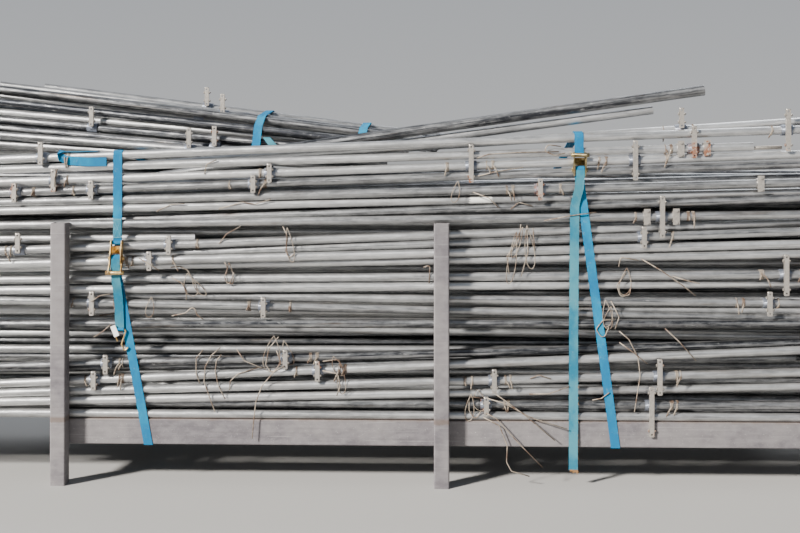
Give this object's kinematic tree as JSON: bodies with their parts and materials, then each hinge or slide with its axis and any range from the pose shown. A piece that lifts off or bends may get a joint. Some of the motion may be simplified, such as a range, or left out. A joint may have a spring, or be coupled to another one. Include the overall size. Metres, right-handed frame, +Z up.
{
  "type": "stack of steel tubes in a rack",
  "caption": "Stack of weathered galvanised steel tubes, some with clamped brackets and tie wires, lashed with blue webbing straps in a steel post rack.",
  "frame": {"origin": "on the floor, under the middle of the rack", "axes": "+X along the tubes, -Y to the front with the ratchets, +Z up"},
  "size_m": [6.1196, 1, 1.614],
  "materials": {
    "tag_cloth": "plain woven label",
    "bolt_steel": "zinc plated, dull",
    "bracket_steel": "galvanised, dull, rusty in places",
    "rack_steel": "dull weathered galvanised, matte",
    "galvanised_tube": "weathered galvanised, satin with streaks",
    "webbing": "woven polyester webbing, sun-faded",
    "yellow_zinc": "yellow zinc plated",
    "wire_steel": "bare wire, light brown rust"
  },
  "bodies": {
    "root": {"blank_tag": "tag_cloth", "bracket_bolts": "bolt_steel", "bracket_rings": "bracket_steel", "cross_beams": "rack_steel", "fan_tubes": "galvanised_tube", "front_tubes": "galvanised_tube", "inner_tubes_01": "galvanised_tube", "inner_tubes_02": "galvanised_tube", "inner_tubes_03": "galvanised_tube", "inner_tubes_04": "galvanised_tube", "inner_tubes_05": "galvanised_tube", "inner_tubes_06": "galvanised_tube", "inner_tubes_07": "galvanised_tube", "inner_tubes_08": "galvanised_tube", "inner_tubes_09": "galvanised_tube", "inner_tubes_10": "galvanised_tube", "inner_tubes_11": "galvanised_tube", "inner_tubes_12": "galvanised_tube", "left_end_loop": "webbing", "left_hook": "yellow_zinc", "left_loose_end": "webbing", "left_ratchet_frame": "yellow_zinc", "left_ratchet_handle": "yellow_zinc", "left_ratchet_pin": "yellow_zinc", "left_ratchet_spindle": "yellow_zinc", "left_strap": "webbing", "left_webbing_roll": "webbing", "long_beams": "rack_steel", "lug_bars": "bracket_steel", "pipe_clamp_bolts": "bolt_steel", "pipe_clamps": "bracket_steel", "posts": "rack_steel", "rear_buckle": "yellow_zinc", "rear_straps": "webbing", "right_ratchet_frame": "yellow_zinc", "right_ratchet_handle": "yellow_zinc", "right_ratchet_pin": "yellow_zinc", "right_ratchet_spindle": "yellow_zinc", "right_strap": "webbing", "right_tail": "webbing", "right_webbing_roll": "webbing", "rising_tubes": "galvanised_tube", "slack_loop": "webbing", "thin_rod": "bracket_steel", "tie_wires": "wire_steel"}
  },
  "joints": []
}
